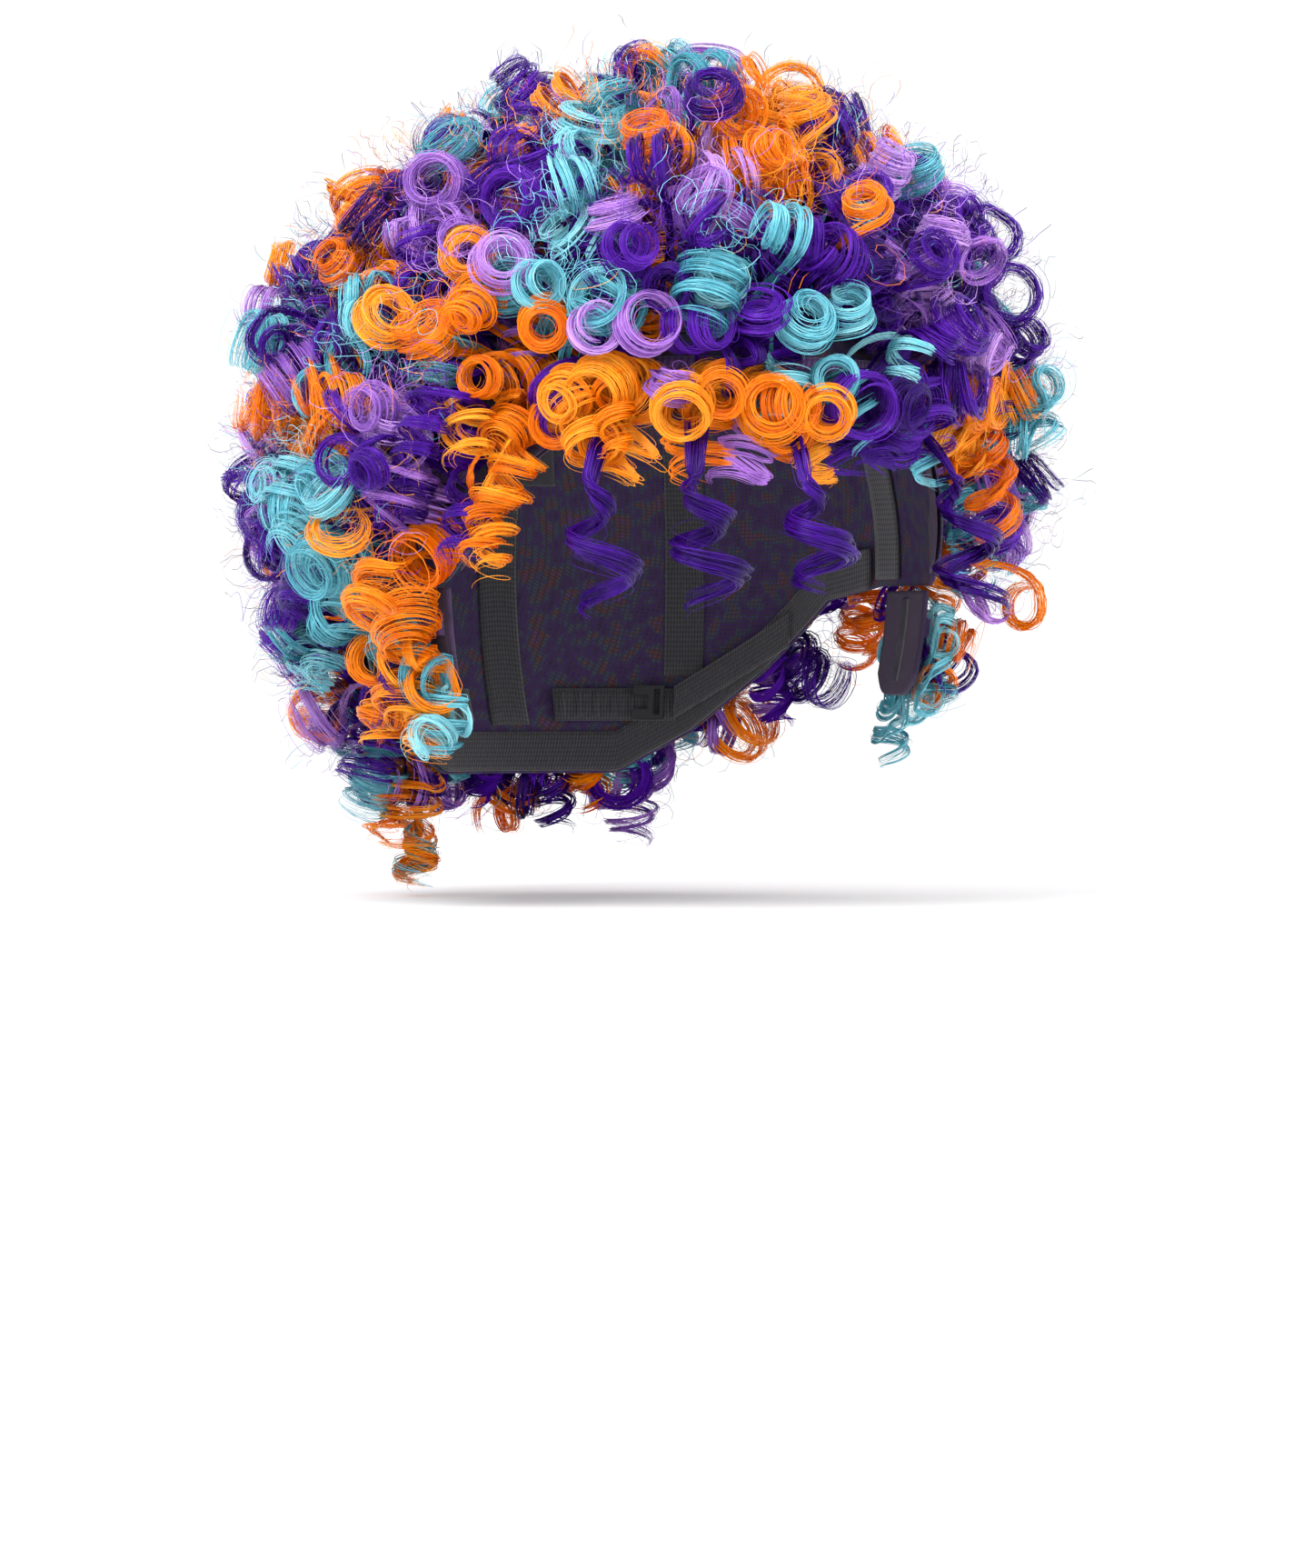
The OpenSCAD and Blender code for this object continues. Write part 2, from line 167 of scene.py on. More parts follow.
# ---- one lock of curled fibres ----
def helix_lock(root, lift, centre, axis, radius, turns, pitch, start, step=20.0):
    """The middle line of a lock: up from its root, then round its axis. Also its width direction."""
    axis = unit(axis)
    u = unit(np.cross(axis, [0.13, 0.21, 0.97]))
    w = np.cross(axis, u)
    stem = 6
    q = np.linspace(0, 1, int(turns * 360 / step) + 2)
    ang = start + 2 * math.pi * turns * q
    grow = 1 - rng.uniform(0.05, 0.35) * q + 0.05 * np.sin(start * 3 + 9 * q)
    coil = (centre + axis * ((q - 0.5) * pitch * turns)[:, None]
            + radius * grow[:, None] * (np.cos(ang)[:, None] * u + np.sin(ang)[:, None] * w))
    tangent = unit(coil[1] - coil[0])
    gap = np.linalg.norm(coil[0] - root)
    b1 = root + lift * gap * 0.45
    b2 = coil[0] - tangent * gap * 0.4
    s = np.linspace(0, 1, stem, endpoint=False)[:, None]
    line = (1 - s) ** 3 * root + 3 * s * (1 - s) ** 2 * b1 + 3 * s * s * (1 - s) * b2 + s ** 3 * coil[0]
    return np.concatenate([line, coil]), axis


def add_lock(hair, line, axis, fibres, width, thick, fibre_radius, loose=0.35, clumps=4,
             spread=(0.4, 0.9, 1.0, 0.32), tone=None, stray_share=0.2, fold=True):
    """A lock of fibres along a middle line: a few clumps side by side, loose strays and uneven ends."""
    p = len(line)
    q = np.linspace(0, 1, p)
    length = rng.uniform(0.8, 1.0, (fibres, 1))
    at = q * length * (p - 1)
    k = np.minimum(at.astype(int), p - 2)
    a = (at - k)[..., None]
    t = unit(np.gradient(line, axis=0))
    side = unit(np.cross(t, axis))
    middle = line[k] * (1 - a) + line[k + 1] * a
    side = unit(side[k] * (1 - a) + side[k + 1] * a)
    member = rng.integers(0, clumps, fibres)
    place = (np.arange(clumps) + rng.uniform(0.2, 0.8, clumps)) / clumps * 2 - 1
    depth_of = rng.normal(0, thick, clumps)
    wave, rate = rng.uniform(0, 2 * math.pi, clumps), rng.uniform(0.5, 1.6, clumps)
    drift = np.sin(wave[:, None] + rate[:, None] * 2 * math.pi * q) * 0.12 * width
    w = place[member] * width / 2 + rng.normal(0, 0.1 * width, fibres)
    r = depth_of[member] + rng.normal(0, 0.4 * thick, fibres)
    own, speed = rng.uniform(0, 2 * math.pi, (fibres, 1)), rng.uniform(1.0, 3.0, (fibres, 1))
    open_up = np.interp(q, [0, 0.25, 0.8, 1], spread)
    off_w = w[:, None] * open_up + drift[member] + np.sin(own + speed * 2 * math.pi * q) * loose * (0.3 + q)
    off_r = r[:, None] * open_up + np.cos(own * 1.7 + speed * 5 * q) * loose * 0.8
    stray = rng.random(fibres) < stray_share
    n = stray.sum()
    off_w[stray] += rng.normal(0, 2.2, (n, 1)) * np.sin(q * rng.uniform(1, 4, (n, 1)))
    stray_lift = rng.uniform(-1.5, 4.5, (n, 1)) * np.sqrt(q)
    off_r[stray] -= stray_lift * np.abs(np.sin(q * rng.uniform(2, 5, (n, 1)) + 0.6))
    twist = rng.normal(0, 0.3) + rng.normal(0, 0.5) * q
    off_w, off_r = (off_w * np.cos(twist) - off_r * np.sin(twist),
                    off_w * np.sin(twist) + off_r * np.cos(twist))
    paths = middle + off_w[..., None] * axis + off_r[..., None] * side
    taper = np.interp(q, [0, 0.1, 0.85, 1], [0.8, 1, 1, 0.35])
    size = fibre_radius * rng.uniform(0.75, 1.25, (fibres, 1)) * np.where(stray, 0.6, 1.0)[:, None] * taper
    shade = rng.uniform(0.25, 0.75) if tone is None else tone
    shade = shade + rng.normal(0, 0.08, clumps)[member] + rng.normal(0, 0.1, fibres)
    hair.add(paths, size, shade, fold)


# ---- rows of the wig, as in part.scad: low and high elevation, first azimuth from the front ----
ROWS = {
    "curls_01": (-32.5, -24, 146), "curls_02": (-24, -15, 130), "curls_03": (-15, -4.5, 116),
    "curls_04": (-3.5, 7, 72), "curls_05": (7, 17, 67), "curls_06": (17, 27, 60),
    "curls_07": (27, 36, 60), "curls_08": (36, 46, 0), "curls_09": (46, 56, 0),
    "curls_10": (56, 66, 0), "curls_11": (66, 76, 0), "curls_12": (76, 89, 0),
}
# Styling chart: the usual colour of each row's locks, every 15 degrees from azimuth -120 to 60.
CHART = {
    "curls_12": "PTTPPTLOOTTPP", "curls_11": "PPTPOTOLTOOPP", "curls_10": "OPTOPTOPOOPOP",
    "curls_09": "OOOLPTPLOPPPL", "curls_08": "TPOPLTPTPPLPP", "curls_07": "LTPTOLLPTTPOP",
    "curls_06": "LOOLPOOOOPPOT", "curls_05": "PTTPOOOOOPPOT", "curls_04": "PPTOPPPPPPPOT",
    "curls_03": "TLTOOPPPPPPPT", "curls_02": "LTOPPPPPPPPPL", "curls_01": "POTPPPPPPPPPP",
    "fringe_upper": "LTPTOOLPTTPLP", "fringe_lower": "OOOOOOOOOPPOO",
}
# Shares of the colours where the chart has none, and how often a lock keeps to the chart.
MIX = {"P": 0.33, "L": 0.30, "T": 0.19, "O": 0.18}
KEEPS_CHART, FRINGE_KEEPS_CHART = 0.78, 0.95
# How far the curls stand off the head form, in mm, at each elevation, and their share over the forehead.
DEPTH_AT = [-33, -15, 0, 15, 30, 45, 60]
DEPTH = [24, 28, 32, 39, 47, 53, 56]
FOREHEAD_SHARE = 0.76
# The wearer's left is fuller: by how much, round which azimuth, and over what spread.
FULLER, FULLER_AT, FULLER_SPREAD = 6, 55, 30
# Layers of locks in a row: share of the depth, spacing in mm, fibres in a lock and degrees between points.
LAYERS = {"outer": (0.99, 10.2, 40, 21), "mid": (0.77, 12.5, 26, 27), "deep": (0.5, 17, 18, 27)}


def signed(az):
    """An azimuth in degrees between -180 and 180."""
    return (az + 180) % 360 - 180


def depth(az, el):
    """How far the curls stand off the head form, in mm."""
    d = np.interp(el, DEPTH_AT, DEPTH)
    bulge = math.exp(-((az - FULLER_AT) / FULLER_SPREAD) ** 2) * math.cos(math.radians(el))
    fuller = FULLER * bulge if el > -6 else 0
    over_forehead = abs(signed(az)) < 50 and el < 40
    return d * (FOREHEAD_SHARE if over_forehead else 1.0) + fuller


def pick(row, az):
    """A lock's colour: from the chart where it has one, or any of the four."""
    a = signed(az)
    keeps = FRINGE_KEEPS_CHART if row == "fringe_lower" else KEEPS_CHART
    if -127 <= a <= 67 and rng.random() < keeps:
        return CHART[row][int(np.clip(round((a + 120) / 15), 0, 12))]
    return rng.choice(list(MIX), p=list(MIX.values()))


STYLES = ["ring", "ring", "spiral", "hang", "side", "loop"]


def curl(hair, az, el, reach, style, scale=1.0, fibres=30, drop=0.0, step=20.0, fold=True):
    """One curl on the form: a ring seen from outside, a spiral, a hanging or sideways ringlet, or a loop."""
    root, n = form(az, el, 4.5)
    up = unit(np.array([0, 0, 1.0]) - n * n[2] + 1e-6)
    right = np.cross(up, n)
    r = rng.uniform(5.6, 9.0) * scale
    jit = rng.normal(0, 1, 3)
    if style == "ring":
        axis = unit(n + 0.38 * (jit[0] * right + jit[1] * up) + np.array([0, 0, -0.15]))
        turns, pitch, centre_out = rng.uniform(1.4, 2.4), rng.uniform(3, 5.5), reach - 5
    elif style == "spiral":
        axis = unit(0.8 * n + np.array([0, 0, -0.55]) + 0.25 * (jit[0] * right + jit[1] * up))
        turns, pitch, centre_out = rng.uniform(2.2, 3.2), rng.uniform(5, 7), reach - 6
    elif style == "hang":
        axis = unit(np.array([0, 0, -1.0]) + 0.35 * n + 0.3 * (jit[0] * right + jit[1] * up))
        turns, pitch, centre_out = rng.uniform(1.8, 2.7), rng.uniform(7, 9.5), reach - r - 2
        drop += 7
    elif style == "side":
        axis = unit(right * rng.choice([-1, 1]) + 0.4 * (jit[0] * n + jit[1] * up))
        turns, pitch, centre_out = rng.uniform(1.3, 2.2), rng.uniform(6, 9), reach - r - 1
    else:
        axis = unit(right + 0.7 * jit)
        turns, pitch, centre_out = rng.uniform(0.8, 1.3), rng.uniform(3, 10), reach - r
    centre = root + n * (centre_out - 4.5) + right * rng.normal(0, 3) + np.array([0, 0, -drop])
    lift = unit(n + 0.3 * up + 0.25 * jit[2] * right)
    line, ax = helix_lock(root, lift, centre, axis, r, turns, pitch, rng.uniform(0, 2 * math.pi), step)
    add_lock(hair, line, ax, fibres, rng.uniform(3.4, 6.0) * scale, 0.8, 4.8 / fibres,
             clumps=int(rng.integers(3, 6)), fold=fold)


def row_locks(low, high, start):
    """Azimuth, elevation and layer of each lock of one row."""
    mid = (low + high) / 2
    a0, a1 = (start, 360 - start) if start else (0, 360)
    for layer, (share, spacing, _, _) in LAYERS.items():
        radius = (90 + 36 * share) * math.cos(math.radians(mid))
        count = max(5, int((a1 - a0) * math.pi / 180 * radius / spacing))
        for i in range(count):
            az = a0 + (a1 - a0) * (i + 0.5 + rng.uniform(-0.35, 0.35)) / count
            el = rng.uniform(low + 1.5, high - 0.5)
            yield az, el, layer


hair_pieces = {}


def collect(row, colour):
    return hair_pieces.setdefault((row, colour), Hair())


for row, (low, high, start) in ROWS.items():
    for az, el, layer in row_locks(low, high, start):
        share, _, fibres, step = LAYERS[layer]
        colour = pick(row, az)
        if layer == "deep" and rng.random() < 0.45:
            colour = "P"
        reach = depth(az, el) * share * rng.uniform(0.9, 1.04)
        if layer == "outer" and rng.random() < 0.2:
            reach += rng.uniform(2, 8)
        fall = 5.0 if el < 70 else 0.0
        over_ear = 5.0 if el < 0 and abs(signed(az)) < 114 else 0.0
        curl(collect(row, colour), az, el, reach, rng.choice(STYLES), fibres=fibres, drop=fall + over_ear,
             step=step, fold=layer != "deep")

FRINGE_END = 57      # azimuth of both ends of the fringe
# The row over the forehead: an upper line of mixed rings and a lower line of orange ringlets.
# Each line: elevation, share of the depth, degrees between locks, and how far they drop in mm.
for line_name, el, share, spacing, drop in (("fringe_upper", 34, 0.95, 9, 4),
                                            ("fringe_upper", 30, 0.7, 10, 6),
                                            ("fringe_lower", 28, 0.8, 7.5, 10),
                                            ("fringe_lower", 27, 0.5, 8, 9),
                                            ("fringe_lower", 30, 0.35, 8, 5)):
    for az in np.arange(-FRINGE_END, FRINGE_END + 1, spacing):
        a, e = az + rng.uniform(-2, 2), el + rng.uniform(-2, 2)
        style = rng.choice(["spiral", "spiral", "hang"] if line_name == "fringe_lower" else STYLES)
        curl(collect("fringe_curls", pick(line_name, a)), a, e, depth(a, e) * share, style,
             drop=drop + rng.uniform(-2, 3), fibres=36)

# Longer ringlets at the two ends of the fringe hang over the temples: azimuth, elevation, drop and colour.
TEMPLE_CURLS = [(-55, 23, 17, "O"), (-60, 19, 20, "O"), (-64, 16, 14, "P"), (-57, 22, 30, "O"),
                (46, 27, 10, "O"), (50, 26, 15, "O"), (55, 24, 22, "O"), (60, 16, 16, "P")]
for az, el, drop, letter in TEMPLE_CURLS:
    curl(collect("fringe_curls", letter), az, el, depth(az, el) * 0.66, "hang", scale=0.85, drop=drop,
         fibres=40)

# The ear tabs' own curls.
TAB_AT, TAB_CURLS = 82, 19      # azimuth of a tab's middle, and its number of curls
for side, node in ((-1, "right_tab_curls"), (1, "left_tab_curls")):
    for i in range(TAB_CURLS):
        az = side * rng.uniform(TAB_AT - 9, TAB_AT + 9)
        el = rng.uniform(-19, -8)
        colour = rng.choice(["O", "O", "T", "P"] if side < 0 else ["T", "T", "P", "O"])
        curl(collect(node, colour), az, el, rng.uniform(11, 18), rng.choice(["hang", "ring", "side"]),
             scale=0.85, fibres=36, drop=4)


# ---- free ringlets: the same turns and roots as in part.scad ----
RINGLET_RADIUS, STRAND, RINGLET_TOP, RINGLET_LEAN = 8.5, 1.8, 20.0, (6.0, -3.0)
RINGLETS = {"ringlet_1": (-41, 37, 2, 200), "ringlet_2": (-24, 35, 2.25, 80),
            "ringlet_3": (-5, 31, 2, 240), "ringlet_4": (31, 36, 2, 20)}


def strand_line(top, length, radius, turns, phase, lean, points):
    """A line that winds down from its root, and widens and leans as it goes."""
    q = np.linspace(0, 1, points)
    s = 1.5 + (length - 1.5) * q
    reach = np.minimum(radius, 0.55 * s)
    ang = np.radians(phase + 360 * turns * q)
    return top + np.stack([reach * np.cos(ang) + lean[0] * q, reach * np.sin(ang) + lean[1] * q, -s], -1)


def ringlet(hair, top, length, radius, turns, phase, lean=(0, 0), inward=None, fibres=100, width=4.6,
            tone=0.3):
    """A free ringlet. Its first part rises from its root into the hair above, if inward is given."""
    top = np.asarray(top, float)
    line = strand_line(top, length, radius, turns, phase, lean, 54)
    if inward is not None:
        s = np.linspace(0, 1, 9, endpoint=False)[:, None]
        line = np.concatenate([(top + inward + [0, 0, 13]) * (1 - s) ** 2 + 2 * s * (1 - s) * (
            top + inward * 0.3 + [0, 0, 7]) + s * s * line[0], line])
    for share, offset, grow in ((0.6, 0.0, 0.0), (0.4, 2.2, 0.8)):
        apart = np.array([grow * rng.normal(), grow * rng.normal(), offset])
        add_lock(hair, line + apart, np.array([0, 0, 1.0]), int(fibres * share), width * (1.25 - share),
                 0.95, 0.14, loose=0.5, clumps=3, spread=(1.5, 0.8, 1.0, 0.12), tone=tone, stray_share=0.16)


for name, (az, length, turns, phase) in RINGLETS.items():
    p, n = form(az, 0, RINGLET_RADIUS + STRAND + 2)
    ringlet(collect(name, "P"), (p[0], p[1], RINGLET_TOP), length, RINGLET_RADIUS, turns, phase,
            RINGLET_LEAN, inward=-11 * n)
tail_top, _ = form(-153, -34, 12.0)
tail_top = tail_top + np.array([0, 0, -9.0])
for letter, fibres, phase in (("O", 100, 0), ("T", 34, 40)):
    ringlet(collect("nape_tail", letter), tail_top, 17, 6, 1.75, phase, inward=np.array([1.0, 1.0, 0]),
            fibres=fibres, width=5, tone=0.6)

# Two orange curls cover the tail's root.
for az, el, drop in ((-149, -29, 7), (-155, -31, 4)):
    curl(collect("curls_01", "O"), az, el, 21, "hang", scale=0.9, drop=drop, fibres=40)

# ---- fine loose fibres between and around the curls ----
FRIZZ_PER_DEGREE, FRIZZ_POINTS, FRIZZ_RADIUS = 3.8, 14, 0.065


def frizz(row, low, high, start):
    """Short, thin, wandering fibres in the outer half of a row's hair."""
    a0, a1 = (start, 360 - start) if start else (0, 360)
    count = int((a1 - a0) * math.cos(math.radians((low + high) / 2)) * FRIZZ_PER_DEGREE)
    az = rng.uniform(a0, a1, count)
    el = rng.uniform(low, high, count)
    root, n = form(az, el, np.array([depth(a, e) for a, e in zip(az, el)]) * rng.uniform(0.5, 0.97, count))
    q = np.linspace(0, 1, FRIZZ_POINTS)
    walk = np.cumsum(rng.normal(0, 1.0, (count, FRIZZ_POINTS, 3)), axis=1)
    heading = unit(n * rng.uniform(-0.2, 1, (count, 1)) + rng.normal(0, 0.8, (count, 3)))
    reach = rng.uniform(2, 10, count)
    curve_r = rng.uniform(1.8, 6.5, (count, 1))
    phase = rng.uniform(0, 6.3, (count, 1))
    side_a = unit(np.cross(heading, rng.normal(0, 1, (count, 3))))
    side_b = np.cross(heading, side_a)
    turn = phase + q * rng.uniform(3.5, 10, (count, 1))
    paths = (root[:, None] + heading[:, None] * (q * reach[:, None])[..., None]
             + side_a[:, None] * (curve_r * (np.cos(turn) - np.cos(phase)))[..., None]
             + side_b[:, None] * (curve_r * (np.sin(turn) - np.sin(phase)))[..., None] + walk * 0.25)
    colours = np.array([pick(row, a) for a in az])
    for letter in COLOURS:
        sel = colours == letter
        if sel.any():
            collect(row, letter).add(paths[sel], np.full((sel.sum(), FRIZZ_POINTS), FRIZZ_RADIUS),
                                     rng.uniform(0.2, 0.9, sel.sum()), fold=False)


for row, (low, high, start) in ROWS.items():
    frizz(row, low, high, start)


# ---- materials ----
def material(name):
    mat = bpy.data.materials.new(name)
    mat.use_nodes = True
    nodes, links = mat.node_tree.nodes, mat.node_tree.links
    return mat, nodes, links, nodes["Principled BSDF"]


def maths(nodes, links, kind, a, b=None):
    node = nodes.new("ShaderNodeMath")
    node.operation = kind
    for k, value in enumerate((a, b)):
        if value is None:
            continue
        if isinstance(value, (int, float)):
            node.inputs[k].default_value = value
        else:
            links.new(value, node.inputs[k])
    return node.outputs[0]


def hair_material(name, dark, middle, light, shine):
    """Glossy synthetic fibre: each fibre has its own tone, and a fine noise breaks it up along its length."""
    mat, nodes, links, bsdf = material(name)
    tone = nodes.new("ShaderNodeAttribute")
    tone.attribute_name = "tone"
    coord = nodes.new("ShaderNodeTexCoord")
    noise = nodes.new("ShaderNodeTexNoise")
    noise.inputs["Scale"].default_value = 160
    noise.inputs["Detail"].default_value = 3
    links.new(coord.outputs["Object"], noise.inputs["Vector"])
    shift = maths(nodes, links, "MULTIPLY_ADD", noise.outputs["Fac"], 0.7)
    shift.node.inputs[2].default_value = -0.35
    ramp = nodes.new("ShaderNodeValToRGB")
    stops = ramp.color_ramp.elements
    stops[0].position, stops[0].color = 0.15, (*dark, 1)
    stops[1].position, stops[1].color = 0.9, (*light, 1)
    stops.new(0.5).color = (*middle, 1)
    links.new(maths(nodes, links, "ADD", tone.outputs["Fac"], shift), ramp.inputs["Fac"])
    links.new(ramp.outputs["Color"], bsdf.inputs["Base Color"])
    bsdf.inputs["Roughness"].default_value = 0.3
    bsdf.inputs["Specular IOR Level"].default_value = 0.5
    bsdf.inputs["Specular Tint"].default_value = (*shine, 1)
    return mat


MATERIALS = {
    "hair_purple": hair_material("hair_purple", (0.016, 0.001, 0.085), (0.05, 0.002, 0.26),
                                 (0.12, 0.015, 0.44), (0.5, 0.3, 1.0)),
    "hair_lavender": hair_material("hair_lavender", (0.22, 0.075, 0.46), (0.43, 0.18, 0.68),
                                   (0.64, 0.37, 0.86), (0.9, 0.75, 1.0)),
    "hair_turquoise": hair_material("hair_turquoise", (0.05, 0.30, 0.40), (0.14, 0.54, 0.66),
                                    (0.36, 0.78, 0.85), (0.8, 1.0, 1.0)),
    "hair_orange": hair_material("hair_orange", (0.78, 0.12, 0.0), (1.0, 0.25, 0.0),
                                 (1.0, 0.42, 0.03), (1.0, 0.75, 0.4)),
}

body_of_node = {node: body for body, nodes in frame["record"]["behaviour"]["bodies"].items()
                for node in nodes}
for (row, letter), hair in hair_pieces.items():
    slot = COLOURS[letter]
    for piece in hair.make(f"{row}_{slot[5:]}"):
        piece.data.materials.append(MATERIALS[slot])
        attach(piece, body_of_node[row])
        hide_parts(row)

# ---- cap cloth ----
BANDS = {  # inner and outer offset of each layer, as in part.scad
    "band": (0.3, 0.9), "ribbon": (1.15, 1.5), "net": (2.1, 2.6), "weft": (3.1, 4.5), "tab": (0.2, 1.8),
    "tab_weft": (2.1, 3.5), "tape": (-0.55, -0.2),
}
MM_PER_DEGREE = (HEAD_A + HEAD_B) / 2 * math.pi / 180
HEM_WIDTH, NAPE_HEM_WIDTH, RIBBON_WIDTH, WEFT_WIDTH, STRAP_WIDTH = 14, 10, 12, 4, 8      # mm
EDGE_AT = [0, 46, 58, 68, 73, 94, 108, 122, 138, 155, 180]
EDGE = [24, 24, 15, 0.5, -3.5, -3.5, -5.5, -16, -26, -33, -33]


def edge(az):
    """Elevation of the cap's edge at an azimuth."""
    return np.interp(np.abs((np.asarray(az, float) + 180) % 360 - 180), EDGE_AT, EDGE)


def shell(surface, inner, outer, closed=False):
    """A closed shell over a grid of points and normals, with a map in mm: vertices, faces and map."""
    p, normals = surface
    nu, nv = p.shape[:2]
    low = p + np.broadcast_to(inner, p.shape[:2])[..., None] * normals
    high = p + np.broadcast_to(outer, p.shape[:2])[..., None] * normals
    n = nu * nv
    verts = np.concatenate([low.reshape(-1, 3), high.reshape(-1, 3)])
    last = nu if closed else nu - 1
    i, j = np.meshgrid(np.arange(last), np.arange(nv - 1), indexing="ij")
    i, j, i2 = i.ravel(), j.ravel(), (i.ravel() + 1) % nu
    a, b, c, d = i * nv + j, i2 * nv + j, i2 * nv + j + 1, i * nv + j + 1
    quads = [np.stack([a + n, b + n, c + n, d + n], -1), np.stack([a, d, c, b], -1)]
    k = np.arange(last)
    k2 = (k + 1) % nu
    quads.append(np.stack([k * nv, k2 * nv, k2 * nv + n, k * nv + n], -1))
    top = nv - 1
    quads.append(np.stack([k2 * nv + top, k * nv + top, k * nv + top + n, k2 * nv + top + n], -1))
    if not closed:
        m = np.arange(nv - 1)
        quads.append(np.stack([m + 1, m, m + n, m + 1 + n], -1))
        e = (nu - 1) * nv
        quads.append(np.stack([e + m, e + m + 1, e + m + 1 + n, e + m + n], -1))
    return verts, np.concatenate(quads), np.tile(sizes(p).reshape(-1, 2), (2, 1))


def sizes(p):
    """Distance along and across a grid of points, in mm."""
    out = np.zeros(p.shape[:2] + (2,))
    out[1:, :, 0] = np.cumsum(np.linalg.norm(np.diff(p, axis=0), axis=-1), axis=0)
    out[:, 1:, 1] = np.cumsum(np.linalg.norm(np.diff(p, axis=1), axis=-1), axis=1)
    return out


def cloth(name, *shells):
    """One mesh of closed cloth shells."""
    quads, base = [], 0
    for verts, faces, _ in shells:
        quads.append(faces + base)
        base += len(verts)
    quads = np.concatenate(quads)
    obj = mesh_object(name, np.concatenate([part[0] for part in shells]), quads)
    layer = obj.data.uv_layers.new(name="weave")
    uv = np.concatenate([part[2] for part in shells])
    layer.data.foreach_set("uv", uv[quads.ravel()].astype(np.float32).ravel())
    return obj


def grid(u0, u1, e0, e1, step=1.5, rows=8):
    """Points and normals of a patch of the form; e0 and e1 may be functions of azimuth."""
    u = np.linspace(u0, u1, max(3, int(abs(u1 - u0) / step)) + 1)
    lo = e0(u) if callable(e0) else np.full_like(u, e0)
    hi = e1(u) if callable(e1) else np.full_like(u, e1)
    t = np.linspace(0, 1, rows)
    return form(np.repeat(u[:, None], rows, 1), lo[:, None] * (1 - t) + hi[:, None] * t)


def weave_map(nodes, links, scale):
    """The cloth's own map in mm, times a scale."""
    uv = nodes.new("ShaderNodeUVMap")
    uv.uv_map = "weave"
    mapping = nodes.new("ShaderNodeMapping")
    mapping.inputs["Scale"].default_value = (scale[0], scale[1], 1)
    links.new(uv.outputs["UV"], mapping.inputs["Vector"])
    return mapping.outputs["Vector"]


def bumped(nodes, links, bsdf, height, strength, distance):
    """A bump of so many metres from a pattern value."""
    bump = nodes.new("ShaderNodeBump")
    bump.inputs["Strength"].default_value = strength
    bump.inputs["Distance"].default_value = distance
    links.new(height, bump.inputs["Height"])
    links.new(bump.outputs["Normal"], bsdf.inputs["Normal"])


def two_tone(nodes, links, bsdf, fac, low, high, strength, distance):
    """Colours and bump from one pattern value."""
    mix = nodes.new("ShaderNodeMix")
    mix.data_type = "RGBA"
    mix.inputs[6].default_value = (*low, 1)
    mix.inputs[7].default_value = (*high, 1)
    links.new(fac, mix.inputs[0])
    links.new(mix.outputs[2], bsdf.inputs["Base Color"])
    bumped(nodes, links, bsdf, fac, strength, distance)


def net_material():
    """Stretch net: crossed threads 2 mm apart, with the dyed roots of the hair showing between them, painted
    far darker than the hair itself as painted shade inside the cap.
    """
    mat, nodes, links, bsdf = material("lace_net")
    sep = nodes.new("ShaderNodeSeparateXYZ")
    links.new(weave_map(nodes, links, (0.5, 0.5)), sep.inputs[0])
    total = maths(nodes, links, "ADD", sep.outputs[0], sep.outputs[1])
    diff = maths(nodes, links, "SUBTRACT", sep.outputs[0], sep.outputs[1])
    lines = [maths(nodes, links, "ABSOLUTE", maths(nodes, links, "SUBTRACT", maths(
        nodes, links, "FRACT", v), 0.5)) for v in (total, diff)]
    thread = maths(nodes, links, "GREATER_THAN", maths(nodes, links, "MAXIMUM", *lines), 0.34)
    noise = nodes.new("ShaderNodeTexNoise")
    noise.inputs["Scale"].default_value = 210
    coord = nodes.new("ShaderNodeTexCoord")
    links.new(coord.outputs["Object"], noise.inputs["Vector"])
    # Colours of the hair roots between the threads: the hair's own hues, darkened as painted shade inside the
    # cap.
    ramp = nodes.new("ShaderNodeValToRGB")
    stops = ramp.color_ramp.elements
    stops[0].position, stops[0].color = 0.3, (0.03, 0.006, 0.09, 1)
    stops[1].position, stops[1].color = 0.72, (0.10, 0.04, 0.16, 1)
    for place, colour in ((0.46, (0.055, 0.015, 0.15, 1)), (0.56, (0.03, 0.07, 0.11, 1)),
                          (0.64, (0.13, 0.035, 0.02, 1))):
        stops.new(place).color = colour
    links.new(noise.outputs["Fac"], ramp.inputs["Fac"])
    mix = nodes.new("ShaderNodeMix")
    mix.data_type = "RGBA"
    mix.inputs[7].default_value = (0.045, 0.03, 0.055, 1)
    links.new(thread, mix.inputs[0])
    links.new(ramp.outputs["Color"], mix.inputs[6])
    links.new(mix.outputs[2], bsdf.inputs["Base Color"])
    bumped(nodes, links, bsdf, thread, 0.8, 0.0004)
    bsdf.inputs["Roughness"].default_value = 0.8
    return mat


